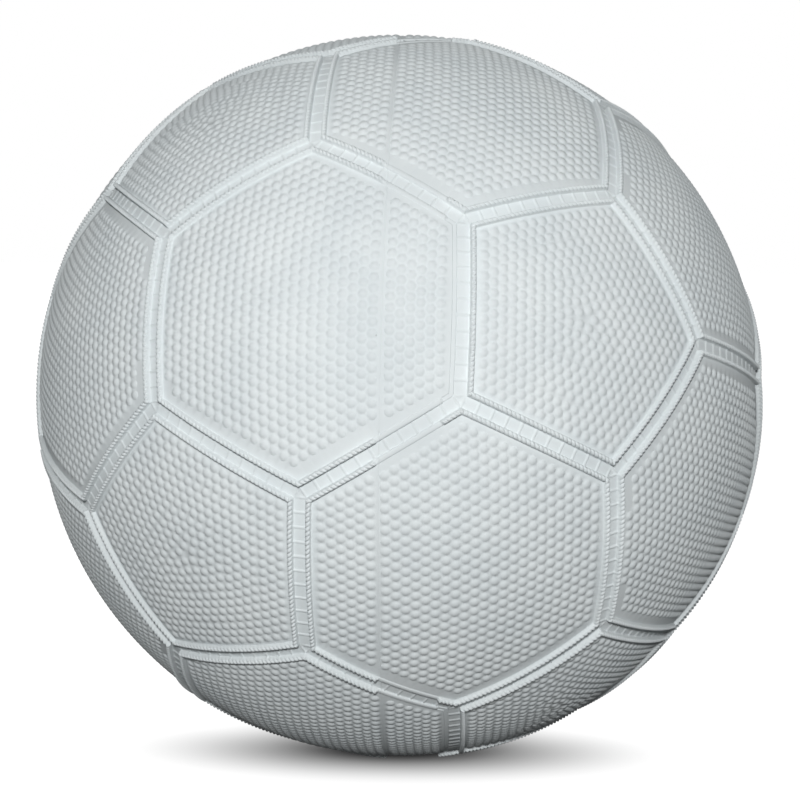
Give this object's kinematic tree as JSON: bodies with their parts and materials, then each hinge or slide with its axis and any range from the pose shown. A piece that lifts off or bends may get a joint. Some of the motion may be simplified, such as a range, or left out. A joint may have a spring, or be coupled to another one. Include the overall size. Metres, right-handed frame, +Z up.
{
  "type": "handball",
  "caption": "Inflatable moulded rubber handball: a pebbled cover with pentagon and hexagon panels and roped seam strips, over a wound carcass and a bladder with a needle valve.",
  "frame": {"origin": "centre of the ball", "axes": "+X along the valve, out of the needle guide, and square to the cover's parting plane; +Z up; -Y towards the picture's camera"},
  "size_m": [0.1861, 0.188, 0.1862],
  "materials": {
    "cover_rubber": "matte moulded, pebbled",
    "carcass_rubber": "matte",
    "nylon_thread": "wound thread",
    "butyl_rubber": "satin",
    "valve_rubber": "matte"
  },
  "bodies": {
    "root": {"right_cover": "cover_rubber", "left_cover": "cover_rubber", "carcass_rubber": "carcass_rubber", "nylon_winding": "nylon_thread", "bladder": "butyl_rubber", "valve_patch": "butyl_rubber", "valve_body": "valve_rubber", "valve_plug": "valve_rubber"}
  },
  "joints": []
}
